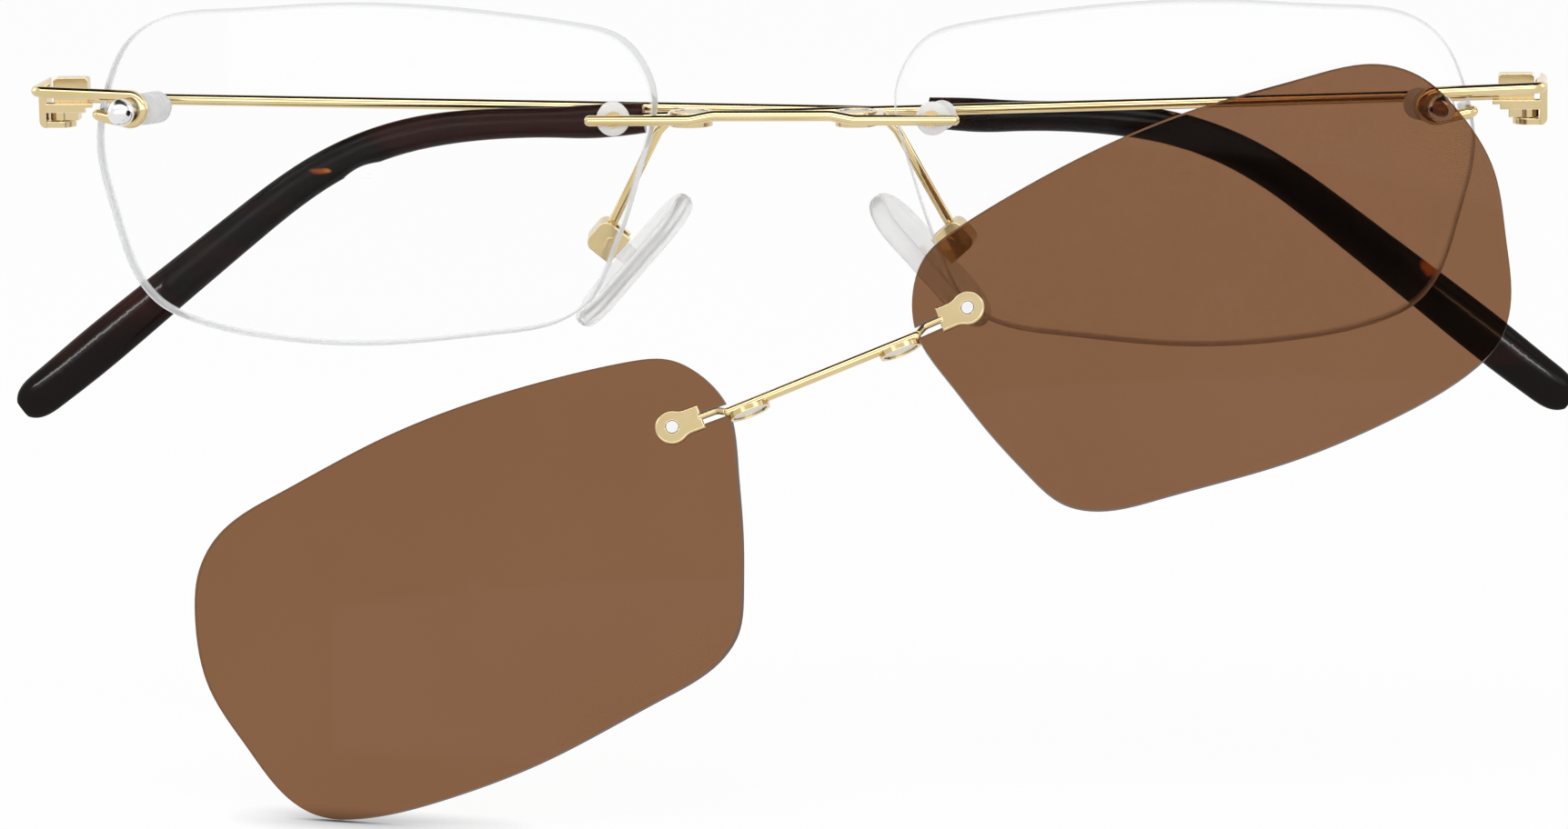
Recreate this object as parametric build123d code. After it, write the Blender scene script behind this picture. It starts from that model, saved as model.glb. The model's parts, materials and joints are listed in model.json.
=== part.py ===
from build123d import *
import math
import os

os.makedirs("parts", exist_ok=True)

# Rimless eyeglasses, folded, with a tinted clip-on hanging in front of them.
# Lengths are in millimetres and angles in degrees. While it is modelled, the origin is the middle of
# the bridge wire, +X is to the viewer's right, +Y runs back along the temples and +Z is up.
# Pieces of the right side are modelled, and the left side is their mirror image.

# Clearances that several pieces share
seat_gap = 0.02
running_gap = 0.03
fold_gap = 0.05
overrun = 4.0

# Lens blanks: both pairs have one outline, in shares of half the width and half the height,
# with the nose side at +1
lens_outline_shares = [
    (0.949, 0.034), (0.984, 0.235), (1.0, 0.442), (0.963, 0.639), (0.88, 0.799), (0.745, 0.874),
    (0.497, 0.938), (0.155, 0.992), (-0.143, 0.997), (-0.525, 0.953), (-0.802, 0.867), (-0.903, 0.721),
    (-0.957, 0.534), (-1.0, 0.12), (-0.946, -0.276), (-0.869, -0.64), (-0.79, -0.79), (-0.683, -0.876),
    (-0.36, -0.978), (0.0, -1.0), (0.449, -0.928), (0.66, -0.86), (0.76, -0.75), (0.83, -0.54),
    (0.89, -0.286),
]
lens_curve_radius = 100.0
lens_wrap_angle = 5.0
wrap_cosine = math.cos(math.radians(lens_wrap_angle))

# Clear lenses of the glasses
clear_width = 50.6
clear_height = 30.3
clear_thickness = 2.2
clear_nose_x = 10.95
clear_centre_x = clear_nose_x + clear_width * wrap_cosine / 2
clear_outer_x = clear_nose_x + clear_width * wrap_cosine
clear_centre_z = -5.1

# Bridge wire with its two lens posts
bridge_wire_diameter = 0.95
bridge_half_span = 16.0
bridge_y = -1.25
bridge_level = 1.15
bridge_rise = 0.4
bridge_rise_half_width = 5.2
bridge_shoulder = 2.0
bridge_bend_radius = 3.0
bridge_post_x = 14.3
bridge_post_diameter = 1.2
bridge_collar_diameter = 1.45
bridge_post_tail = 1.7
bridge_washer_diameter = 2.95
bridge_washer_thickness = 0.4
bridge_sleeve_diameter = 2.6
bridge_sleeve_length = 2.1

# Magnet cups of the bridge, open upwards
bridge_cup_diameter = 3.7
bridge_cup_x = 7.25
bridge_cup_y = 0.9
bridge_cup_top = 0.58
bridge_cup_height = 1.3
bridge_cup_wall = 0.4
bridge_magnet_recess = 0.08

# Nose pads, their arms and their boxes
pad_arm_diameter = 0.9
pad_arm_start_x = 9.1
pad_arm_back = 4.0
pad_arm_shoulder_x = 10.6
pad_arm_shoulder_z = -1.6
pad_arm_bend_radius = 1.2
pad_centre_x = 13.2
pad_centre_y = 6.0
pad_centre_z = -13.45
pad_lean_angle = 48.5
pad_splay_angle = 8.0
pad_length = 15.0
pad_width = 7.4
pad_thickness = 1.8
pad_edge_radius = 0.8
pad_pivot_height = 2.7
pad_box_length = 2.9
pad_box_depth = 2.6
pad_box_width = 2.5
pad_box_back = 0.95
pad_box_front = 1.05
pad_cheek = 0.5
pad_box_corner_radius = 0.8
pad_lug_length = 1.5
pad_screw_diameter = 0.9
pad_screw_head_diameter = 1.3
pad_screw_head_height = 0.2

# End wires that hold the temple side of each lens
end_wire_diameter = 1.0
end_post_inset = 3.6
end_post_x = clear_outer_x - end_post_inset
end_post_z = 0.35
end_loop_radius = 1.29
end_loop_top = 1.37
end_loop_bottom = 1.3
end_tail_reach = 3.45
end_tail_height = -0.45
end_tail_depth = 1.7
end_tail_bend_radius = 0.6
end_corner_reach = 9.6
end_corner_bend_radius = 1.1
ball_diameter = 2.45
ball_height = 2.15
ball_shank_diameter = 0.85
ball_pit_diameter = 0.5
ball_pit_depth = 0.35
ball_pit_angle = 62.0
end_shank_tail = 3.0
end_sleeve_diameter = 2.85
end_sleeve_tip_diameter = 1.7
end_sleeve_length = 3.8
end_sleeve_taper_length = 1.2
end_sleeve_groove = 0.12
end_sleeve_groove_count = 3
end_sleeve_groove_pitch = 0.8
notch_width = 1.1
notch_depth = 1.3

# Hinges, each about an upright screw
hinge_reach = 4.35
hinge_x = clear_outer_x + hinge_reach
hinge_y = 11.8
hinge_screw_diameter = 0.8
hinge_screw_top = 1.3
hinge_lug_radius = 1.35
hinge_upper_lug_radius = 1.0
hinge_upper_lug_top = -0.1
hinge_upper_lug_bottom = -0.7
hinge_lower_lug_top = -1.55
hinge_lower_lug_bottom = -2.1
hinge_web_inner = 1.05
hinge_web_thickness = 0.65
hinge_web_front = 1.6
hinge_web_rear = 1.2
hinge_web_top = 2.2
hinge_step_reach = 3.1
hinge_step_depth = 0.7
hinge_step_top = 0.2
hinge_step_foot_top = -0.25
hinge_step_foot_inset = 0.65
hinge_edge_radius = 0.15

# Temples: butt block, wire and covered tip
butt_reach = 2.6
butt_overlap = 0.5
butt_half_width = 0.8
butt_eye_radius = 0.95
butt_top = 2.35
butt_neck_inner = 1.1
butt_neck_outer = 1.7
butt_edge_radius = 0.3
temple_wire_diameter = 1.0
temple_wire_z = 0.45
temple_wire_length = 75.7
temple_wire_drop = 1.7
temple_core_length = 8.0
tip_reach = 57.0
tip_drop = 26.3
tip_path_shares = [
    (0.0, 0.0), (0.184, 0.015), (0.342, 0.042), (0.447, 0.108), (0.535, 0.208),
    (0.675, 0.44), (0.816, 0.683), (0.904, 0.838), (1.0, 1.0),
]
tip_start_height = 2.7
tip_paddle_height = 4.1
tip_thickness = 2.3
# How far along the tip, how tall and how thick it is there, as shares
tip_section_shares = [
    (0.0, 0.0, 1.0), (0.12, 0.06, 1.0), (0.3, 0.2, 1.0), (0.45, 0.36, 1.0), (0.6, 0.58, 1.0),
    (0.75, 0.85, 1.0), (0.88, 1.0, 0.98), (0.95, 0.86, 0.9), (0.985, 0.42, 0.66), (1.0, -0.7, 0.3),
]
near_fold_angle = 1.2
far_fold_angle = -1.25

# Clip-on: tinted lenses on a thin bar, with magnet cups open downwards
tint_side_margin = 0.45
tint_edge_margin = 0.7
tint_width = clear_width + 2 * tint_side_margin
tint_height = clear_height + 2 * tint_edge_margin
tint_thickness = 1.0
tint_nose_x = 9.15
tint_centre_x = tint_nose_x + tint_width * wrap_cosine / 2
tint_drop = 6.15
clip_bar_diameter = 0.85
clip_bar_half_length = 8.7
clip_screw_x = 14.0
clip_screw_z = 0.65
clip_plate_round_radius = 1.5
clip_plate_tail = 2.7
clip_plate_half_width = 1.1
clip_plate_waist_radius = 1.4
clip_plate_thickness = 0.5
clip_plate_bevel = 0.12
clip_neck_diameter = 0.6
clip_neck_run = 1.4
clip_neck_bend_radius = 0.7
clip_screw_head_diameter = 1.05
clip_screw_recess_diameter = 1.2
clip_screw_recess_depth = 0.14
clip_screw_diameter = 0.7
clip_nut_diameter = 2.0
clip_nut_length = 0.9
clip_notch_width = 1.15
clip_notch_drop = 0.05
clip_cup_diameter = 3.7
clip_cup_x = 7.0
clip_cup_height = 0.5
clip_cup_sink = 0.1
clip_cup_wall = 0.3
clip_cup_roof = 0.12
clip_magnet_recess = 0.15

# Where the clip-on sits when it is up in front of the glasses, and the turn that drops it from
# there: its axis passes through this point and points the way that lifts the clip-on
clip_ball_clearance = 0.3
clip_corner_side_share = 0.957
clip_corner_top_share = 0.534
clip_seat_z = clear_centre_z + tint_drop
clip_axis_inset = 0.6
clip_axis_x = hinge_x - clip_axis_inset
clip_axis_y = 0.0
clip_axis_z = 2.6
clip_recline_angle = 19.1
clip_tilt_angle = 22.2
clip_yaw_angle = -2.4
clip_turn_angle = math.hypot(clip_recline_angle, clip_tilt_angle, clip_yaw_angle)


def rod(start, end, radius):
    """A round bar between two points."""
    start = Vector(*start)
    run = Vector(*end) - start
    return Plane(origin=start, z_dir=run).location * extrude(Circle(radius), amount=run.length)


def bent_wire(points, bends, diameter):
    """A round wire along straight runs joined by tangent bends."""
    path = FilletPolyline(*points, radius=bends)
    section = Plane(origin=path @ 0, z_dir=path % 0) * Circle(diameter / 2)
    return sweep(section, path=path)


def one_solid(shape):
    """The largest solid of a cut shape, without the crumbs that a cut can leave."""
    return max(shape.solids(), key=lambda piece: piece.volume)


def disc(radius, low, high):
    """A round disc on the local Z axis."""
    return Pos(0, 0, low) * extrude(Circle(radius), amount=high - low)


def block(x_low, x_high, y_low, y_high, z_low, z_high):
    """A box between three pairs of coordinates."""
    middle = Pos((x_low + x_high) / 2, (y_low + y_high) / 2, (z_low + z_high) / 2)
    return middle * Box(x_high - x_low, y_high - y_low, z_high - z_low)


def lens_place(centre_x, front_y, centre_z):
    """The place of a right lens: local X runs outwards, local Y up and local Z to the front."""
    turn = math.radians(lens_wrap_angle)
    plane = Plane(
        origin=(centre_x, front_y, centre_z),
        x_dir=(math.cos(turn), math.sin(turn), 0),
        z_dir=(math.sin(turn), -math.cos(turn), 0),
    )
    return plane.location


def lens_blank(width, height, thickness):
    """A curved lens about its front apex, with the shared outline."""
    points = [(-share_x * width / 2, share_y * height / 2) for share_x, share_y in lens_outline_shares]
    outline = make_face(Spline(*points, periodic=True))
    stock = Pos(0, 0, -height) * extrude(outline, amount=height + overrun)
    middle = Pos(0, 0, -lens_curve_radius)
    shell = middle * Sphere(lens_curve_radius) - middle * Sphere(lens_curve_radius - thickness)
    return one_solid(stock & shell)


def on_front(reach, rise):
    """The place on a lens front that is this far out of and above its apex, with Z square to it."""
    height = math.sqrt(lens_curve_radius**2 - reach**2 - rise**2)
    normal = Vector(reach, rise, height)
    plane = Plane(
        origin=(reach, rise, height - lens_curve_radius),
        x_dir=(height, 0, -reach),
        z_dir=normal,
    )
    return plane.location


def at(place, x, y, z):
    """A point given in a local frame, in the frame around it."""
    return (place * Pos(x, y, z)).position


# The clear lens lies behind the bridge wire's axis by the bridge level, where the post passes it
bridge_post_on_lens = on_front((bridge_post_x - clear_centre_x) / wrap_cosine, -clear_centre_z)
bridge_post_set_back = at(lens_place(clear_centre_x, 0, clear_centre_z) * bridge_post_on_lens, 0, 0, 0).Y
clear_front_y = bridge_y + bridge_level - bridge_post_set_back
clear_lens_place = lens_place(clear_centre_x, clear_front_y, clear_centre_z)
tint_lens_place = lens_place(tint_centre_x, 0, -tint_drop)
bridge_post_place = clear_lens_place * bridge_post_on_lens
end_post_place = clear_lens_place * on_front(
    (end_post_x - clear_centre_x) / wrap_cosine, end_post_z - clear_centre_z
)
clip_screw_place = tint_lens_place * on_front(
    (clip_screw_x - tint_centre_x) / wrap_cosine, tint_drop + clip_screw_z
)


def bridge_wire():
    """The wire over the nose alone, with rounded ends."""
    flat = bridge_rise_half_width + bridge_shoulder
    points = [
        (-bridge_half_span, bridge_y, 0),
        (-flat, bridge_y, 0),
        (-bridge_rise_half_width, bridge_y, bridge_rise),
        (bridge_rise_half_width, bridge_y, bridge_rise),
        (flat, bridge_y, 0),
        (bridge_half_span, bridge_y, 0),
    ]
    wire = bent_wire(points, bridge_bend_radius, bridge_wire_diameter)
    for side in (-1, 1):
        wire += Pos(side * bridge_half_span, bridge_y, 0) * Sphere(bridge_wire_diameter / 2)
    return wire


def bridge():
    """The bridge wire with the two posts that pass through the lenses."""
    wire = bridge_wire()
    shank = disc(bridge_post_diameter / 2, -clear_thickness - bridge_post_tail, bridge_level)
    collar = disc(bridge_collar_diameter / 2, bridge_washer_thickness + seat_gap, bridge_level)
    post = bridge_post_place * (shank + collar)
    return one_solid(wire + post + mirror(post, about=Plane.YZ))


def bridge_washer():
    """The clear washer between the lens front and the post's collar."""
    ring = disc(bridge_washer_diameter / 2, seat_gap / 2, bridge_washer_thickness)
    bore = disc(bridge_post_diameter / 2 + seat_gap, 0, bridge_washer_thickness)
    return bridge_post_place * (ring - bore)


def bridge_sleeve():
    """The clear sleeve that grips the post behind the lens."""
    top = -clear_thickness - seat_gap
    ring = disc(bridge_sleeve_diameter / 2, top - bridge_sleeve_length, top)
    ring = chamfer(ring.edges().group_by(Axis.Z)[0], bridge_washer_thickness)
    tail = -clear_thickness - bridge_post_tail - seat_gap
    return bridge_post_place * (ring - disc(bridge_post_diameter / 2 + seat_gap, tail, top))


def cup(diameter, wall, floor, height):
    """A round cup that is open upwards, with its foot at zero."""
    inside = disc(diameter / 2 - wall, floor, height)
    return disc(diameter / 2, 0, height) - inside


def bridge_cup():
    """The magnet cup soldered behind the bridge wire."""
    place = Pos(bridge_cup_x, bridge_cup_y, bridge_cup_top - bridge_cup_height)
    shell = place * cup(bridge_cup_diameter, bridge_cup_wall, bridge_cup_wall, bridge_cup_height)
    return one_solid(shell - bridge_wire())


def bridge_magnet():
    """The magnet in the bridge's cup, face up."""
    place = Pos(bridge_cup_x, bridge_cup_y, bridge_cup_top - bridge_cup_height)
    radius = bridge_cup_diameter / 2 - bridge_cup_wall - fold_gap
    return place * disc(radius, bridge_cup_wall, bridge_cup_height - bridge_magnet_recess)


def pad_place():
    """The place of the right pad: X along it, Y to its front edge and Z to the nose."""
    lean = math.radians(pad_lean_angle)
    splay = math.radians(pad_splay_angle)
    along = Vector(math.cos(lean), 0, -math.sin(lean))
    nose = Vector(-math.sin(lean) * math.cos(splay), math.sin(splay), -math.cos(lean) * math.cos(splay))
    return Plane(origin=(pad_centre_x, pad_centre_y, pad_centre_z), x_dir=along, z_dir=nose).location


def pad_pivot():
    """The place of the pad's rocking screw, which lies along local Y."""
    return pad_place() * Pos(0, 0, -pad_pivot_height)


def nose_pad():
    """The soft pad with the lug that the screw holds."""
    face = extrude(SlotOverall(pad_length, pad_width), amount=pad_thickness / 2, both=True)
    face = fillet(face.edges(), pad_edge_radius)
    half_lug = pad_lug_length / 2
    half_slot = pad_box_width / 2 - pad_cheek - fold_gap
    lug = block(-half_lug, half_lug, -half_slot, half_slot, -pad_pivot_height, 0)
    eye = Pos(0, 0, -pad_pivot_height) * Rot(90, 0, 0) * disc(half_lug, -half_slot, half_slot)
    bore_radius = pad_screw_diameter / 2 + running_gap
    bore = Pos(0, 0, -pad_pivot_height) * Rot(90, 0, 0) * disc(bore_radius, -pad_width, pad_width)
    return pad_place() * one_solid(face + lug + eye - bore)


def pad_box():
    """The small metal box that the pad rocks in, open towards the pad."""
    half_length = pad_box_length / 2
    half_width = pad_box_width / 2
    low = -pad_box_back - half_length + pad_cheek
    shell = block(-half_length, half_length, -half_width, half_width, low, pad_box_front)
    shell = fillet(shell.edges().filter_by(Axis.Y).group_by(Axis.Z)[0], pad_box_corner_radius)
    half_slot = half_width - pad_cheek
    slot_floor = -pad_lug_length / 2 - fold_gap
    slot = block(-pad_box_length, pad_box_length, -half_slot, half_slot, slot_floor, pad_box_depth)
    bore = Rot(90, 0, 0) * disc(pad_screw_diameter / 2, -pad_box_width, pad_box_width)
    return pad_pivot() * (shell - slot - bore)


def pad_screw():
    """The screw across the pad box, its head to the front."""
    half_width = pad_box_width / 2
    shank = disc(pad_screw_diameter / 2, -half_width, half_width)
    head = disc(pad_screw_head_diameter / 2, half_width, half_width + pad_screw_head_height)
    return pad_pivot() * Rot(-90, 0, 0) * (shank + head)


def pad_arm():
    """The wire from behind the bridge to the top of the pad box."""
    box_top = at(pad_pivot(), -pad_box_length / 2 + pad_arm_diameter / 2, 0, -pad_arm_diameter)
    points = [
        (pad_arm_start_x, bridge_y, 0),
        (pad_arm_start_x, pad_arm_back, 0),
        (pad_arm_shoulder_x, pad_arm_back, pad_arm_shoulder_z),
        (box_top.X, box_top.Y, box_top.Z),
    ]
    bends = [pad_arm_bend_radius, pad_arm_bend_radius / 2]
    wire = bent_wire(points, bends, pad_arm_diameter)
    return one_solid(wire - bridge_wire() - bridge_cup() - bridge_magnet() - pad_box() - pad_screw())


def end_wire():
    """The wire that loops round the ball stud, runs out to the corner and back to the hinge."""
    level = end_wire_diameter / 2 + seat_gap
    loop_side = -end_loop_radius
    corner = at(end_post_place, end_corner_reach, end_loop_top, level)
    web_front = hinge_y - hinge_web_front
    points = [
        at(end_post_place, end_tail_reach, end_tail_height, -end_tail_depth),
        at(end_post_place, end_tail_reach, end_tail_height, level),
        at(end_post_place, loop_side, -end_loop_bottom, level),
        at(end_post_place, loop_side, end_loop_top, level),
        corner,
        (corner.X, web_front, corner.Z),
    ]
    bends = [end_tail_bend_radius, end_loop_radius, end_loop_radius, end_corner_bend_radius]
    return bent_wire(points, bends, end_wire_diameter)


def ball_stud():
    """The bright ball in front of the loop, with its shank through the lens."""
    ball = Pos(0, 0, ball_height) * Sphere(ball_diameter / 2)
    shank = disc(ball_shank_diameter / 2, -clear_thickness - end_shank_tail, ball_height)
    pit = disc(ball_pit_diameter / 2, ball_diameter / 2 - ball_pit_depth, ball_diameter)
    pit = Pos(0, 0, ball_height) * Rot(0, -ball_pit_angle, 0) * pit
    return end_post_place * (ball + shank - pit)


def end_sleeve():
    """The clear ringed sleeve behind the temple side of the lens."""
    top = -clear_thickness - seat_gap
    bottom = top - end_sleeve_length
    radius = end_sleeve_diameter / 2
    tip_radius = end_sleeve_tip_diameter / 2
    taper_top = bottom + end_sleeve_taper_length
    outline = [(0, top), (radius, top), (radius, taper_top), (tip_radius, bottom), (0, bottom)]
    profile = make_face(Polyline(*outline, close=True))
    sleeve = revolve(Plane.XZ * profile, axis=Axis.Z)
    for number in range(end_sleeve_groove_count):
        middle = top - (number + 1) * end_sleeve_groove_pitch
        half = end_sleeve_groove / 2
        ring = disc(radius + overrun, middle - half, middle + half)
        sleeve -= ring - disc(radius - end_sleeve_groove, middle - half, middle + half)
    bore_end = -clear_thickness - end_shank_tail - seat_gap
    return end_post_place * (sleeve - disc(ball_shank_diameter / 2 + seat_gap, bore_end, top))


def edge_notch(place, x, y, width, length):
    """A square-sided notch that runs outwards from a point of a lens."""
    half = width / 2
    return place * block(x, x + length, y - half, y + half, -overrun, overrun)


def clear_lens():
    """A clear lens with its post hole, its stud hole and the notch for the end wire's tail."""
    lens = clear_lens_place * lens_blank(clear_width, clear_height, clear_thickness)
    lens -= bridge_post_place * disc(bridge_post_diameter / 2 + seat_gap, -overrun, overrun)
    lens -= end_post_place * disc(ball_shank_diameter / 2 + seat_gap, -overrun, overrun)
    tail = end_tail_reach - notch_width / 2
    lens -= edge_notch(end_post_place, tail, end_tail_height, notch_width, notch_depth + overrun)
    return one_solid(lens)


def hinge_bracket():
    """The fixed half of the hinge: two lugs on an upright web, and a step under the end wire."""
    web_outer = hinge_web_inner + hinge_web_thickness
    bottom = hinge_lower_lug_bottom
    web = block(hinge_web_inner, web_outer, -hinge_web_front, hinge_web_rear, bottom, hinge_web_top)
    bracket = fillet(web.edges().filter_by(Axis.X), hinge_edge_radius)
    upper = (hinge_upper_lug_radius, hinge_upper_lug_bottom, hinge_upper_lug_top)
    lower = (hinge_lug_radius, bottom, hinge_lower_lug_top)
    for radius, low, high in (upper, lower):
        bracket += disc(radius, low, high)
        bracket += block(0, web_outer, -radius, min(radius, hinge_web_rear), low, high)
    front = -hinge_web_front
    rear = hinge_step_depth - hinge_web_front
    step = block(-hinge_step_reach, web_outer, front, rear, hinge_step_foot_top, hinge_step_top)
    bracket += fillet(step.edges().filter_by(Axis.X).group_by(Axis.Z)[-1], hinge_edge_radius)
    foot_reach = hinge_step_reach - hinge_step_foot_inset
    bracket += block(-foot_reach, web_outer, front, rear, hinge_upper_lug_bottom, hinge_step_foot_top)
    upper_radius, upper_bottom, upper_top = upper
    bracket += block(-upper_radius, web_outer, rear, 0, upper_bottom, upper_top)
    bracket -= disc(hinge_screw_diameter / 2, -overrun, overrun)
    skirt = block(0, web_outer + overrun, -overrun, overrun, bottom - overrun, hinge_web_top + overrun)
    rounding = block(-overrun, web_outer, -overrun, overrun, bottom, hinge_web_top)
    rounding = fillet(rounding.edges().filter_by(Axis.Y), hinge_web_thickness)
    bracket -= skirt - rounding
    return Pos(hinge_x, hinge_y, 0) * one_solid(bracket)


def hinge_screw():
    """The upright screw of the hinge."""
    pin = disc(hinge_screw_diameter / 2, hinge_lower_lug_bottom, hinge_screw_top)
    return Pos(hinge_x, hinge_y, 0) * pin


def temple_butt():
    """The moving half of the hinge: a block above the lugs and an eye between them."""
    half = butt_half_width
    low = hinge_upper_lug_top + fold_gap
    head = block(-butt_reach, butt_overlap, -half, half, low, butt_top)
    head = fillet(head.edges().filter_by(Axis.Y), butt_edge_radius)
    eye_low = hinge_lower_lug_top + fold_gap
    eye_high = hinge_upper_lug_bottom - fold_gap
    neck = block(-butt_neck_outer, -butt_neck_inner, -half, half, eye_low, low + butt_half_width)
    eye = disc(butt_eye_radius, eye_low, eye_high)
    eye += block(-butt_neck_outer, 0, -half, half, eye_low, eye_high)
    bore = disc(hinge_screw_diameter / 2 + running_gap, -overrun, hinge_screw_top + running_gap)
    return one_solid(head + neck + eye - bore)


def temple_wire():
    """The straight wire of the temple, with the core that its tip covers."""
    share = (temple_wire_length + temple_core_length) / temple_wire_length
    start = (-butt_reach, 0, temple_wire_z)
    end = (-butt_reach - temple_wire_length * share, 0, temple_wire_z - temple_wire_drop * share)
    wire = rod(start, end, temple_wire_diameter / 2)
    return wire - temple_butt()


def temple_tip():
    """The covered tip, which bends down behind the ear and widens to a paddle."""
    start_x = -butt_reach - temple_wire_length
    start_z = temple_wire_z - temple_wire_drop
    path = Spline(*[(start_x - x * tip_reach, 0, start_z - z * tip_drop) for x, z in tip_path_shares])
    sections = []
    for along, tall, thick in tip_section_shares:
        height = tip_start_height + tall * (tip_paddle_height - tip_start_height)
        plane = Plane(origin=path @ along, x_dir=(0, 1, 0), z_dir=path % along)
        sections.append(plane * Ellipse(thick * tip_thickness / 2, height / 2))
    return loft(sections) - temple_wire()


def folded(piece, fold):
    """A temple piece at the right hinge, turned by its folding angle."""
    return Pos(hinge_x, hinge_y, 0) * Rot(0, 0, fold) * piece


def clip_bar():
    """The thin bar between the tinted lenses."""
    reach = clip_bar_half_length
    radius = clip_bar_diameter / 2
    bar = rod((-reach, 0, 0), (reach, 0, 0), radius)
    for side in (-1, 1):
        bar += Pos(side * reach, 0, 0) * Sphere(radius)
    return bar


def clip_plate():
    """The flat plate on the tinted lens, with the neck that joins it to the bar."""
    outline = Circle(clip_plate_round_radius)
    outline += Pos(-clip_plate_tail / 2, 0) * Rectangle(clip_plate_tail, 2 * clip_plate_half_width)
    waist = outline.vertices().group_by(Axis.X)[-1]
    outline = fillet(waist, clip_plate_waist_radius)
    plate = Pos(0, 0, seat_gap) * extrude(outline, amount=clip_plate_thickness)
    front = plate.faces().sort_by(Axis.Z)[-1]
    plate = chamfer(front.edges(), clip_plate_bevel)
    top = clip_plate_thickness + seat_gap
    plate -= disc(clip_screw_recess_diameter / 2, top - clip_screw_recess_depth, top + overrun)
    plate -= disc(clip_screw_diameter / 2 + seat_gap, -overrun, overrun)
    level = seat_gap + clip_neck_diameter / 2
    points = [
        (clip_bar_half_length, 0, 0),
        at(clip_screw_place, -clip_plate_tail - clip_neck_run, 0, level),
        at(clip_screw_place, -clip_plate_tail + clip_neck_diameter / 2, 0, level),
    ]
    neck = bent_wire(points, clip_neck_bend_radius, clip_neck_diameter)
    return one_solid(clip_screw_place * plate + neck - clip_bar())


def clip_screw():
    """The small bright screw of a clip plate."""
    top = clip_plate_thickness + seat_gap
    floor = top - clip_screw_recess_depth
    head = disc(clip_screw_head_diameter / 2, floor, top)
    shank = disc(clip_screw_diameter / 2, -tint_thickness - clip_nut_length, floor)
    return clip_screw_place * (head + shank)


def clip_nut():
    """The round nut behind the tinted lens."""
    top = -tint_thickness - seat_gap
    nut = disc(clip_nut_diameter / 2, top - clip_nut_length, top)
    bore = disc(clip_screw_diameter / 2 + seat_gap, top - overrun, top)
    return clip_screw_place * (nut - bore)


def tint_lens():
    """A tinted lens with its screw hole and the notch at its nose side."""
    lens = tint_lens_place * lens_blank(tint_width, tint_height, tint_thickness)
    lens -= clip_screw_place * disc(clip_screw_diameter / 2 + seat_gap, -overrun, overrun)
    high = clip_screw_z - clip_notch_drop + clip_notch_width / 2
    notch_end = clip_screw_x - clip_plate_tail
    front = -overrun
    lens -= block(tint_nose_x - overrun, notch_end, front, 2 * overrun, high - clip_notch_width, high)
    return one_solid(lens)


def clip_cup():
    """The magnet cup under the bar, open downwards."""
    top = clip_cup_sink - clip_bar_diameter / 2
    shell = Rot(180, 0, 0) * cup(clip_cup_diameter, clip_cup_wall, clip_cup_roof, clip_cup_height)
    return one_solid(Pos(clip_cup_x, 0, top) * shell - clip_bar())


def clip_magnet():
    """The magnet in the clip's cup, face down."""
    top = clip_cup_sink - clip_bar_diameter / 2
    radius = clip_cup_diameter / 2 - clip_cup_wall - fold_gap
    face = clip_magnet_recess - clip_cup_height
    return Pos(clip_cup_x, 0, top) * disc(radius, face, -clip_cup_roof)


clip_axis_point = Vector(clip_axis_x, clip_axis_y, clip_axis_z)
clip_axis_direction = Vector(clip_recline_angle, clip_tilt_angle, clip_yaw_angle).normalized()
clip_axis = Axis(clip_axis_point, clip_axis_direction)

# The seat lies as far ahead as the outer corner of the hanging clip-on needs to clear the ball stud
clip_corner_place = Pos(0, 0, clip_seat_z) * tint_lens_place * on_front(
    clip_corner_side_share * tint_width / 2, clip_corner_top_share * tint_height / 2
)
clip_corner = Vertex(*at(clip_corner_place, 0, 0, -tint_thickness)).rotate(clip_axis, -clip_turn_angle)
clip_front = Vector(0, -1, 0).rotate(Axis((0, 0, 0), clip_axis_direction), -clip_turn_angle)
ball_to_corner = clip_corner.center() - at(end_post_place, 0, 0, ball_height)
clip_seat_y = ball_to_corner.dot(clip_front) - ball_diameter / 2 - clip_ball_clearance


def dropped(piece):
    """A clip piece moved to its seat in front of the glasses, then turned down to hang."""
    seated = Pos(0, clip_seat_y, clip_seat_z) * piece
    return seated.rotate(clip_axis, -clip_turn_angle)


def both_sides(name, piece):
    """A right-hand piece and its mirror image, under their node names."""
    return {name + "_right": piece, name + "_left": mirror(piece, about=Plane.YZ)}


parts = {"bridge": bridge()}
parts.update(both_sides("clear_lens", clear_lens()))
parts.update(both_sides("bridge_washer", bridge_washer()))
parts.update(both_sides("bridge_sleeve", bridge_sleeve()))
parts.update(both_sides("bridge_magnet_cup", bridge_cup()))
parts.update(both_sides("bridge_magnet", bridge_magnet()))
parts.update(both_sides("pad_arm", pad_arm()))
parts.update(both_sides("pad_box", pad_box()))
parts.update(both_sides("pad_screw", pad_screw()))
parts.update(both_sides("nose_pad", nose_pad()))
parts.update(both_sides("end_wire", end_wire()))
parts.update(both_sides("ball_stud", ball_stud()))
parts.update(both_sides("end_sleeve", end_sleeve()))
parts.update(both_sides("hinge_bracket", hinge_bracket()))
parts.update(both_sides("hinge_screw", hinge_screw()))

temple_pieces = {"temple_butt": temple_butt(), "temple_wire": temple_wire(), "temple_tip": temple_tip()}
for name, piece in temple_pieces.items():
    parts[name + "_right"] = folded(piece, near_fold_angle)
    parts[name + "_left"] = mirror(folded(piece, far_fold_angle), about=Plane.YZ)

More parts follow.
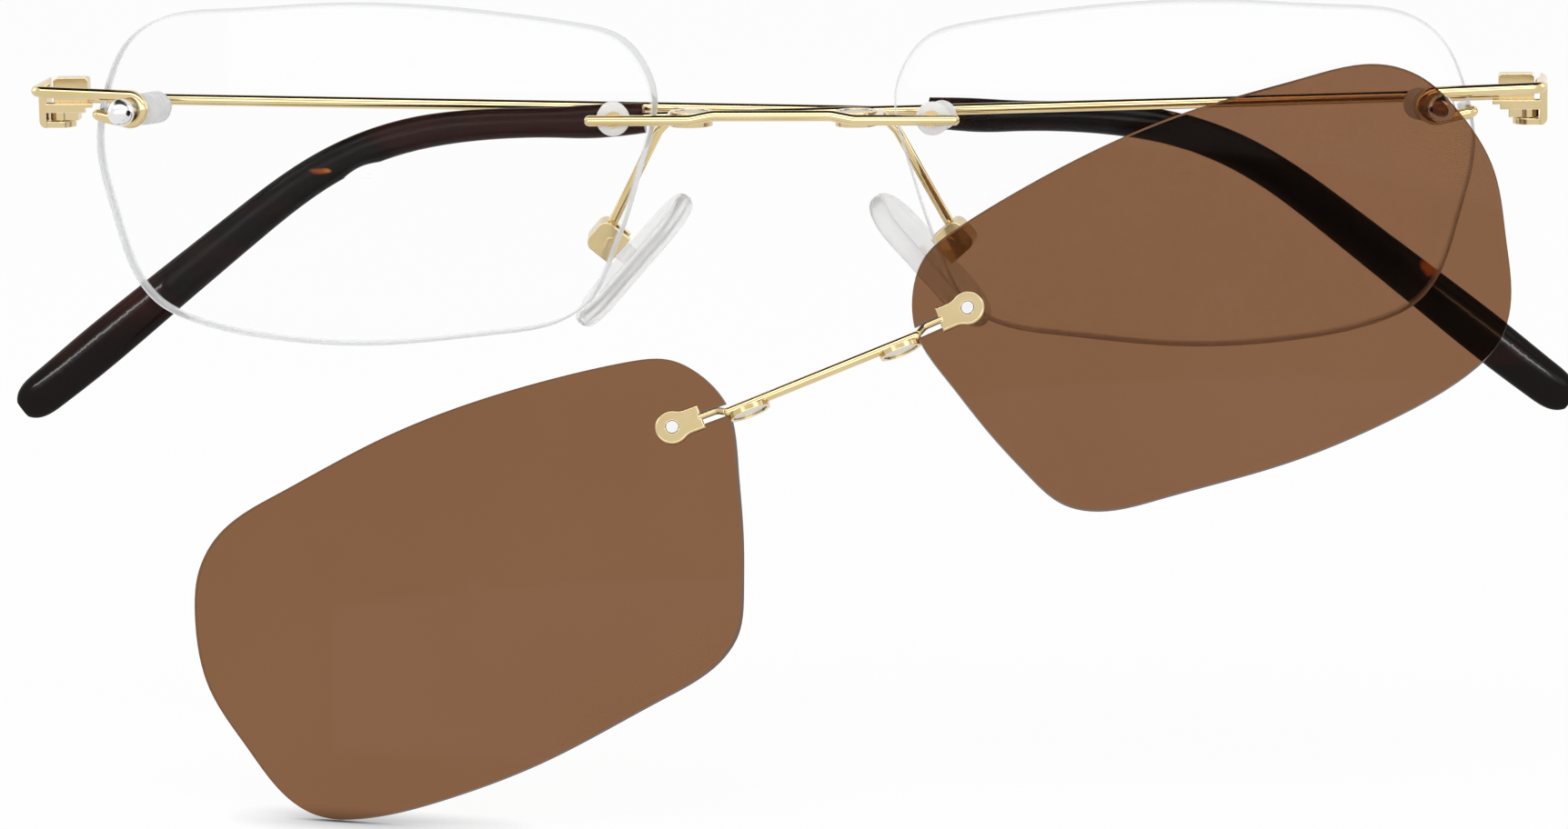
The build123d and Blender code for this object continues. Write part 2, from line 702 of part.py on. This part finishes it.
clip_pieces = {"clip_bar": clip_bar()}
clip_pieces.update(both_sides("tinted_lens", tint_lens()))
clip_pieces.update(both_sides("clip_plate", clip_plate()))
clip_pieces.update(both_sides("clip_screw", clip_screw()))
clip_pieces.update(both_sides("clip_nut", clip_nut()))
clip_pieces.update(both_sides("clip_magnet_cup", clip_cup()))
clip_pieces.update(both_sides("clip_magnet", clip_magnet()))
for name, piece in clip_pieces.items():
    parts[name] = dropped(piece)

# The finished part stands on its lowest point, under the middle of its bounding box
whole = Compound(children=[Compound(piece.solids()) for piece in parts.values()])
bounds = whole.bounding_box()
origin = Vector(bounds.center().X, bounds.center().Y, bounds.min.Z)
for name, piece in parts.items():
    export_step(Pos(-origin.X, -origin.Y, -origin.Z) * Compound(piece.solids()), "parts/" + name + ".step")


def report(label, point):
    """Print a point in metres from the finished part's origin."""
    metre = 1000
    moved = (Vector(*point) - origin) / metre
    print(f"{label} {moved.X:.6f} {moved.Y:.6f} {moved.Z:.6f}")


pivot = at(pad_pivot(), 0, 0, 0)
pad_axis = at(pad_pivot(), 0, 1, 0) - pivot
report("bridge middle", (0, 0, 0))
report("right hinge", (hinge_x, hinge_y, 0))
report("left hinge", (-hinge_x, hinge_y, 0))
report("clip axis", (clip_axis_x, clip_axis_y, clip_axis_z))
report("right pad pivot", (pivot.X, pivot.Y, pivot.Z))
report("left pad pivot", (-pivot.X, pivot.Y, pivot.Z))
report("right bridge magnet face", (bridge_cup_x, bridge_cup_y, bridge_cup_top - bridge_magnet_recess))
report("left bridge magnet face", (-bridge_cup_x, bridge_cup_y, bridge_cup_top - bridge_magnet_recess))
print("clip axis direction", clip_axis_direction, "turn", clip_turn_angle)
print("right pad axis direction", pad_axis)
print("size", bounds.size)
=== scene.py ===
import json
import math

import bmesh
import bpy
from mathutils import Matrix, Vector


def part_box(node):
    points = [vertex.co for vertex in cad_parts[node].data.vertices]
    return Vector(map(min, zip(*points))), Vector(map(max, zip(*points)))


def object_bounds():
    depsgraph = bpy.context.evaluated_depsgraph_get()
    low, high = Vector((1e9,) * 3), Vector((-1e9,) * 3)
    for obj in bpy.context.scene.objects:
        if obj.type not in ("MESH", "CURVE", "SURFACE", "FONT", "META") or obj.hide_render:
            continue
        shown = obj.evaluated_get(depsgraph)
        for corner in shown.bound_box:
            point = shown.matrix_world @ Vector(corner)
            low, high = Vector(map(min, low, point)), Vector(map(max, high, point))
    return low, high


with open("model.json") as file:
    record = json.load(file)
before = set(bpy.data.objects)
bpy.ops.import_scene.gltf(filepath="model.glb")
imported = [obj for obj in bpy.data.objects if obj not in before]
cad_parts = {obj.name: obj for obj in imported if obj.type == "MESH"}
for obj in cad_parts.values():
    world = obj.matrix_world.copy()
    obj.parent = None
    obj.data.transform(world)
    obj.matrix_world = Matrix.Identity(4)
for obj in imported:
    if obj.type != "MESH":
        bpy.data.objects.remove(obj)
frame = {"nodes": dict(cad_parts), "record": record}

# Folded rimless eyeglasses with a tinted clip-on hanging in front of them, on a white table.
# Lengths are in metres, angles in degrees, and colours in linear red, green and blue.
mm = 0.001
cad_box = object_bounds()
record = frame["record"]

# Where the photograph was taken from, and the pixel that the middle of the bridge falls on
photo_width = 1724
photo_height = 912
focal_pixels = 7560.0
sensor_width = 36.0
camera_azimuth = 6.0
camera_elevation = 10.0
camera_roll = 0.92
camera_distance = 0.6
camera_near_end = 1 * mm
bridge_pixel_x = 848.0
bridge_pixel_y = 132.5
bridge_wire_radius = 0.475 * mm
bridge_rise = 0.4 * mm

# Gold plating: its paler and its deeper colour, and the painted highlight on its rounded edges
gold_pale = (0.75, 0.60, 0.34)
gold_deep = (0.68, 0.53, 0.275)
gold_edge_highlight = (0.92, 0.80, 0.54)
gold_relief = 0.003 * mm

# Bright steel, and the painted shade in pits of a given depth
steel_bright = (0.80, 0.80, 0.80)
steel_pit_shade = (0.02, 0.02, 0.02)
pit_depth = 0.4 * mm

# How far the edges of the small metal blocks and of the polished steel look rounded
block_edge_radius = 0.1 * mm
steel_edge_radius = 0.05 * mm

# The clear lenses, how wide their frosted edge is, and how much of it hides what is behind it
clear_body = (0.995, 0.995, 0.995)
clear_frost = (0.80, 0.81, 0.82)
clear_refraction = 1.12
frosted_reach = 0.55 * mm
frosting = 0.75

# The tinted lenses, and the painted shade on their rim
brown_light = (0.246, 0.121, 0.061)
brown_deep = (0.234, 0.1135, 0.0555)
brown_rim_shade = (0.03, 0.014, 0.008)
brown_refraction = 1.1

# Milky silicone of the pads, washers and sleeves
silicone_pale = (0.985, 0.988, 0.99)
silicone_deep = (0.95, 0.955, 0.96)

# The covered tips, and the amber in them
tip_dark = (0.0045, 0.0028, 0.0025)
tip_red = (0.02, 0.0055, 0.0035)
amber_bright = (0.62, 0.22, 0.035)
amber_deep = (0.2, 0.045, 0.01)

# Amber patches of the tips: the middle of each, its half length and its half height, in mm
tip_patches = [
    (27.0, 13.0, 60.8, 2.4, 1.3), (36.0, 13.0, 58.5, 3.6, 1.4), (57.5, 14.0, 44.0, 1.6, 1.6),
    (-41.7, 16.0, 52.9, 1.3, 0.45),
]
tip_patch_depth = 9 * mm
patch_raggedness = 1.2
patch_core = 0.7

# Nickel of the magnets
nickel = (0.72, 0.70, 0.63)

# Cosines between which a lens turns from its edge to its face, and a rounding into flat metal
edge_cosine = 0.6
face_cosine = 0.8
rounded_cosine = 0.93
flat_cosine = 0.995

# The white room and its table, the painted contact shadow on it, and the dark card overhead
room_light = 0.42
table_half = 3.0
table_drop = 0.02 * mm
table_colour = (0.95, 0.95, 0.95)
table_whiteness = 0.95
contact_reach = 5 * mm
card_half = 0.6
card_place = (0, 0.39, 0.75)
card_colour = (0.02, 0.018, 0.015)

# Rays that a shading node sends out where it looks around a point
look_rays = 8


class Socket:
    """An output of a shader node that takes part in sums like a number."""

    def __init__(self, finish, output):
        self.finish = finish
        self.output = output

    def maths(self, operation, *values):
        return self.finish.node("ShaderNodeMath", {"operation": operation}, enumerate(values))

    def __add__(self, other):
        return self.maths("ADD", self, other)

    def __radd__(self, other):
        return self.maths("ADD", other, self)

    def __sub__(self, other):
        return self.maths("SUBTRACT", self, other)

    def __rsub__(self, other):
        return self.maths("SUBTRACT", other, self)

    def __mul__(self, other):
        return self.maths("MULTIPLY", self, other)

    def __rmul__(self, other):
        return self.maths("MULTIPLY", other, self)

    def most(self, other):
        return self.maths("MAXIMUM", self, other)

    def size(self):
        return self.maths("ABSOLUTE", self)

    def rising(self, low, high):
        """0 below low, 1 above high and a smooth step between them."""
        settings = {"interpolation_type": "SMOOTHSTEP"}
        return self.finish.node("ShaderNodeMapRange", settings, {"Value": self, 1: low, 2: high})


class Finish:
    """The node tree of a material or of the world, and what is used to fill it."""

    def __init__(self, owner):
        self.owner = owner
        owner.use_nodes = True
        self.tree = owner.node_tree
        self.tree.nodes.clear()

    def node(self, kind, settings=(), inputs=(), output=0):
        """A node with its settings made first, and its inputs given as values or linked."""
        made = self.tree.nodes.new(kind)
        for name, value in dict(settings).items():
            setattr(made, name, value)
        for name, value in dict(inputs).items():
            if isinstance(value, Socket):
                self.tree.links.new(value.output, made.inputs[name])
            else:
                made.inputs[name].default_value = value
        return Socket(self, made.outputs[output]) if made.outputs else made

    def vectors(self, operation, *values, output=0):
        """A sum on vectors, or a number taken from them."""
        return self.node("ShaderNodeVectorMath", {"operation": operation}, enumerate(values), output)

    def mix(self, factor, first, second):
        """One colour turning into another."""
        settings = {"data_type": "RGBA"}
        return self.node("ShaderNodeMix", settings, {0: factor, 6: first, 7: second}, output=2)

    def place(self, stretch):
        """Object coordinates, stretched for a pattern."""
        coordinates = self.node("ShaderNodeTexCoord", output="Object")
        return self.node("ShaderNodeMapping", {}, {"Vector": coordinates, "Scale": stretch})

    def noise(self, scale, detail=3.0, stretch=(1, 1, 1), distortion=0.0):
        """A cloudy pattern between 0 and 1."""
        inputs = {
            "Vector": self.place(stretch),
            "Scale": scale,
            "Detail": detail,
            "Distortion": distortion,
        }
        return self.node("ShaderNodeTexNoise", {}, inputs)

    def rim(self, axis):
        """1 on the edge of a lens that faces along an axis, and 0 on its faces."""
        normal = self.node("ShaderNodeTexCoord", output="Normal")
        facing = self.vectors("DOT_PRODUCT", normal, axis, output="Value")
        return 1 - facing.size().rising(edge_cosine, face_cosine)

    def spot(self, centre, reach, ragged):
        """1 inside a ragged oval patch about a point of the object, and 0 outside it."""
        coordinates = self.node("ShaderNodeTexCoord", output="Object")
        offset = self.vectors("SUBTRACT", coordinates, centre)
        shares = self.vectors("DIVIDE", offset, reach)
        length = self.vectors("LENGTH", shares, output="Value")
        return 1 - (length + patch_raggedness * (ragged - 0.5)).rising(patch_core, 1.0)

    def hollows(self, reach):
        """1 in the open, and less where other surfaces stand within a reach."""
        settings = {"samples": look_rays}
        return self.node("ShaderNodeAmbientOcclusion", settings, {"Distance": reach}, output="AO")

    def edges(self, radius):
        """A normal that rounds sharp edges by a radius."""
        return self.node("ShaderNodeBevel", {"samples": look_rays}, {"Radius": radius})

    def turned(self, normal):
        """1 where a rounding normal leans away from the surface's own, and 0 where it is flat."""
        own = self.node("ShaderNodeNewGeometry", output="Normal")
        facing = self.vectors("DOT_PRODUCT", normal, own, output="Value")
        return 1 - facing.rising(rounded_cosine, flat_cosine)

    def bump(self, height, distance, more=()):
        """A fine relief for a shader's Normal."""
        return self.node("ShaderNodeBump", {}, {"Height": height, "Distance": distance, **dict(more)})

    def blend(self, factor, first, second):
        """One shader turning into another."""
        return self.node("ShaderNodeMixShader", {}, {0: factor, 1: first, 2: second})

    def principled(self, inputs):
        """The shader that nearly every finish is made of."""
        return self.node("ShaderNodeBsdfPrincipled", {}, inputs)

    def wear(self, shader, output="ShaderNodeOutputMaterial"):
        """Finish the material or the world with a shader."""
        self.node(output, {}, {"Surface": shader})
        return self.owner


def material(name):
    """A new material, ready to be filled."""
    return Finish(bpy.data.materials.new(name))


def colour(tone, shade=1):
    """A colour with full alpha, darkened by a shade."""
    return (*(shade * part for part in tone), 1.0)


def gold(name, shade, least_roughness, edge_radius=0.0):
    """Pale gold plating with faint streaks along the wires, and a painted highlight on rounded edges."""
    paint = material(name)
    streaks = paint.noise(scale=900.0, stretch=(0.12, 1, 1))
    clouds = paint.noise(scale=160.0)
    tone = paint.mix(clouds.rising(0.35, 0.7), colour(gold_pale, shade), colour(gold_deep, shade))
    roughness = least_roughness + 0.06 * streaks
    rounded = {}
    if edge_radius:
        rounded["Normal"] = paint.edges(edge_radius)
        edge = paint.turned(rounded["Normal"])
        # Painted highlight: the rounded edges are painted a brighter gold.
        tone = paint.mix(edge, tone, colour(gold_edge_highlight))
        roughness = roughness - 0.08 * edge
    return paint.wear(paint.principled({
        "Base Color": tone,
        "Metallic": 1.0,
        "Roughness": roughness,
        "Normal": paint.bump(streaks, gold_relief, rounded),
    }))


def bright_steel():
    """Bright polished steel of balls and screws, with painted shade in its pits."""
    paint = material("bright_steel")
    clouds = paint.noise(scale=1200.0)
    # Painted shade: the steel is painted dark where its pits close in around it.
    open_air = paint.hollows(pit_depth)
    return paint.wear(paint.principled({
        "Base Color": paint.mix(open_air.rising(0.4, 0.8), colour(steel_pit_shade), colour(steel_bright)),
        "Metallic": 1.0,
        "Roughness": 0.17 + 0.08 * clouds,
        "Normal": paint.edges(steel_edge_radius),
    }))


def clear_lens():
    """Clear lens polymer with a frosted edge."""
    paint = material("clear_lens")
    edge = paint.rim((0, -1, 0)).most(paint.turned(paint.edges(frosted_reach)))
    polished = paint.principled({
        "Base Color": colour(clear_body),
        "Roughness": 0.0,
        "IOR": clear_refraction,
        "Transmission Weight": 1.0,
    })
    frosted = paint.principled({"Base Color": colour(clear_frost), "Roughness": 0.4})
    return paint.wear(paint.blend(frosting * edge, polished, frosted))


def brown_lens():
    """Brown tinted lens polymer with painted shade on its rim."""
    paint = material("brown_lens")
    clouds = paint.noise(scale=30.0)
    # Painted shade: the rim of the lens is painted dark brown.
    rim = paint.rim(clip_front())
    tint = paint.mix(clouds.rising(0.3, 0.7), colour(brown_light), colour(brown_deep))
    return paint.wear(paint.principled({
        "Base Color": paint.mix(rim, tint, colour(brown_rim_shade)),
        "Roughness": 0.3 * rim,
        "IOR": brown_refraction,
        "Transmission Weight": 1.0,
    }))


def clip_front():
    """The direction that the hanging clip-on faces."""
    joints = record["behaviour"]["joints"]
    lift = next(joint for joint in joints if joint["name"] == "clip_lift")
    highest = math.radians(lift["range_deg"][1])
    return Matrix.Rotation(-highest, 3, Vector(lift["axis"])) @ Vector((0, -1, 0))


def silicone(name, softness, refraction, clearness):
    """Milky clear silicone, smooth on the pads and duller on the washers and sleeves."""
    paint = material(name)
    clouds = paint.noise(scale=120.0)
    return paint.wear(paint.principled({
        "Base Color": paint.mix(clouds, colour(silicone_pale), colour(silicone_deep)),
        "Roughness": softness + 0.1 * clouds,
        "IOR": refraction,
        "Transmission Weight": clearness,
    }))


def tortoiseshell():
    """Glossy dark acetate with amber patches."""
    paint = material("tortoiseshell")
    ragged = paint.noise(scale=420.0)
    clouds = paint.noise(scale=95.0, detail=2.0, stretch=(0.45, 1, 1), distortion=0.6)
    amber = clouds.rising(0.68, 0.78)
    for x, y, z, length, height in tip_patches:
        centre = (x * mm, y * mm, z * mm)
        reach = (length * mm, tip_patch_depth, height * mm)
        amber = amber.most(paint.spot(centre, reach, ragged))
    dark = paint.mix(clouds.rising(0.5, 0.66), colour(tip_dark), colour(tip_red))
    glow = paint.mix(ragged.rising(0.35, 0.65), colour(amber_bright), colour(amber_deep))
    return paint.wear(paint.principled({
        "Base Color": paint.mix(amber, dark, glow),
        "Roughness": 0.12 + 0.05 * ragged,
        "Specular IOR Level": 0.05,
        "Coat Weight": 0.08,
        "Coat Roughness": 0.08,
    }))


def magnet():
    """Nickel plated face of a small magnet."""
    paint = material("magnet")
    grain = paint.noise(scale=2500.0)
    return paint.wear(paint.principled({
        "Base Color": colour(nickel),
        "Metallic": 1.0,
        "Roughness": 0.3 + 0.15 * grain,
    }))


def dress():
    """Give every node of the frame the finish of its material slot, or one of its own."""
    finishes = {
        "pale_gold": gold("pale_gold", shade=0.97, least_roughness=0.04),
        "bright_steel": bright_steel(),
        "clear_lens": clear_lens(),
        "brown_lens": brown_lens(),
        "clear_silicone": silicone("milky_silicone", softness=0.3, refraction=1.3, clearness=0.3),
        "tortoiseshell": tortoiseshell(),
        "magnet": magnet(),
    }
    # The blocks and the clip plates are darker copies of the same gold plating, which is painted shade; the
    # plates' satin roughness is their own.
    block = gold("block_gold", shade=0.9, least_roughness=0.14, edge_radius=block_edge_radius)
    plate = gold("satin_gold_painted_darker", shade=0.8, least_roughness=0.22, edge_radius=block_edge_radius)
    special = {
        "hinge_bracket": block,
        "temple_butt": block,
        "pad_box": block,
        "clip_magnet_cup": block,
        "bridge_magnet_cup": block,
        "clip_plate": plate,
        "nose_pad": silicone("pad_silicone", softness=0.12, refraction=1.22, clearness=0.72),
    }
    for part in record["subparts"]:
        stem = part["node"].removesuffix("_left").removesuffix("_right")
        node = frame["nodes"][part["node"]]
        node.data.materials.clear()
        node.data.materials.append(special.get(stem, finishes[part["material_slot"]]))


def white_world():
    """A white room: full white where it is seen, and softer where it lights the object."""
    world = bpy.data.worlds.new("white_room")
    bpy.context.scene.world = world
    paint = Finish(world)
    seen = seen_rays(paint)
    light = paint.node("ShaderNodeBackground", {}, {"Color": colour((1, 1, 1)), "Strength": room_light})
    white = paint.node("ShaderNodeBackground", {}, {"Color": colour((1, 1, 1)), "Strength": 1.0})
    paint.wear(paint.blend(seen, light, white), "ShaderNodeOutputWorld")


def seen_rays(paint):
    """1 for a ray of the camera, a reflection or a refraction, and 0 for one that gathers light."""
    camera = paint.node("ShaderNodeLightPath", output="Is Camera Ray")
    glossy = paint.node("ShaderNodeLightPath", output="Is Glossy Ray")
    through = paint.node("ShaderNodeLightPath", output="Is Transmission Ray")
    return camera.most(glossy).most(through)


def plane(name, half, place):
    """A flat square of a half size, moved to its place."""
    mesh = bpy.data.meshes.new(name)
    shape = bmesh.new()
    bmesh.ops.create_grid(shape, x_segments=1, y_segments=1, size=half)
    bmesh.ops.transform(shape, matrix=Matrix.Translation(place), verts=shape.verts)
    shape.to_mesh(mesh)
    shape.free()
    made = bpy.data.objects.new(name, mesh)
    bpy.context.collection.objects.link(made)
    return made


def white_floor():
    """A white table top that keeps a part of the object's real shadow, with a painted contact shadow where
    the object comes near.
    """
    floor = plane("floor", table_half, (0, 0, -table_drop))
    paint = material("white_table")
    # Painted contact shadow: the table's glow dims where the object comes within reach.
    near = paint.hollows(contact_reach)
    glow = paint.node("ShaderNodeEmission", {}, {"Color": colour((1, 1, 1)), "Strength": near})
    board = paint.node("ShaderNodeBsdfDiffuse", {}, {"Color": colour(table_colour)})
    floor.data.materials.append(paint.wear(paint.blend(table_whiteness * seen_rays(paint), board, glow)))


def dark_card():
    """A dark card overhead that only reflections see, for the dark lines along the metal."""
    card = plane("dark_card", card_half, card_place)
    card.visible_camera = False
    card.visible_diffuse = False
    card.visible_transmission = False
    card.visible_shadow = False
    paint = material("dark_card")
    shade = paint.node("ShaderNodeEmission", {}, {"Color": colour(card_colour), "Strength": 1.0})
    card.data.materials.append(paint.wear(shade))


def soft_light(name, azimuth, elevation, distance, width, height, power, lit=()):
    """A flat soft lamp that looks at the middle of the object, and lights only the nodes in lit, if any."""
    middle = (cad_box[0] + cad_box[1]) / 2
    turn = math.radians(azimuth)
    rise = math.radians(elevation)
    back = Vector((math.sin(turn) * math.cos(rise), -math.cos(turn) * math.cos(rise), math.sin(rise)))
    lamp = bpy.data.lights.new(name, "AREA")
    lamp.shape = "RECTANGLE"
    lamp.size = width
    lamp.size_y = height
    lamp.energy = power
    made = bpy.data.objects.new(name, lamp)
    made.location = middle + back * distance
    made.rotation_euler = (-back).to_track_quat("-Z", "Y").to_euler()
    bpy.context.collection.objects.link(made)
    if lit:
        made.light_linking.receiver_collection = bpy.data.collections.new(name)
        for node in lit:
            made.light_linking.receiver_collection.objects.link(frame["nodes"][node])


def studio_lights():
    """A lamp above, one in front and one on each side, and three narrow ones for the tips alone."""
    soft_light("key_light", -5.0, 62.0, distance=0.8, width=1.7, height=0.36, power=3.9)
    soft_light("front_light", 6.0, 13.0, distance=0.9, width=1.7, height=0.32, power=3.0)
    for name, azimuth in (("left_light", -110.0), ("right_light", 110.0)):
        soft_light(name, azimuth, 20.0, distance=0.9, width=0.5, height=0.5, power=0.7)
    tips = ("temple_tip_left", "temple_tip_right")
    places = {
        "left_tip_light": (-33.0, 12.0),
        "right_tip_light": (20.0, 12.0),
        "level_tip_light": (-6.0, 24.0),
    }
    for name, (azimuth, elevation) in places.items():
        soft_light(name, azimuth, elevation, distance=0.9, width=0.4, height=0.06, power=2.6, lit=tips)


def photo_camera():
    """The camera, placed so that the middle of the bridge falls on its pixel."""
    turn = math.radians(camera_azimuth)
    rise = math.radians(camera_elevation)
    ahead = Vector((-math.sin(turn) * math.cos(rise), math.cos(turn) * math.cos(rise), -math.sin(rise)))
    right = Vector((math.cos(turn), math.sin(turn), 0))
    roll = Matrix.Rotation(math.radians(camera_roll), 3, ahead)
    up = roll @ right.cross(ahead)
    right = roll @ right
    low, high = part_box("bridge")
    bridge_height = high[2] - bridge_wire_radius - bridge_rise
    bridge = Vector(((low[0] + high[0]) / 2, low[1] + bridge_wire_radius, bridge_height))
    across = (bridge_pixel_x - photo_width / 2) / focal_pixels
    upwards = (photo_height / 2 - bridge_pixel_y) / focal_pixels
    data = bpy.data.cameras.new("photo_camera")
    data.sensor_width = sensor_width
    data.lens = focal_pixels / photo_width * sensor_width
    data.clip_start = camera_near_end
    camera = bpy.data.objects.new("photo_camera", data)
    place = Matrix((right, up, -ahead)).transposed().to_4x4()
    place.translation = bridge - camera_distance * (ahead + across * right + upwards * up)
    camera.matrix_world = place
    bpy.context.collection.objects.link(camera)
    bpy.context.scene.camera = camera


bpy.context.scene.view_settings.view_transform = "Standard"
photo_camera()
white_world()
white_floor()
dark_card()
studio_lights()
dress()
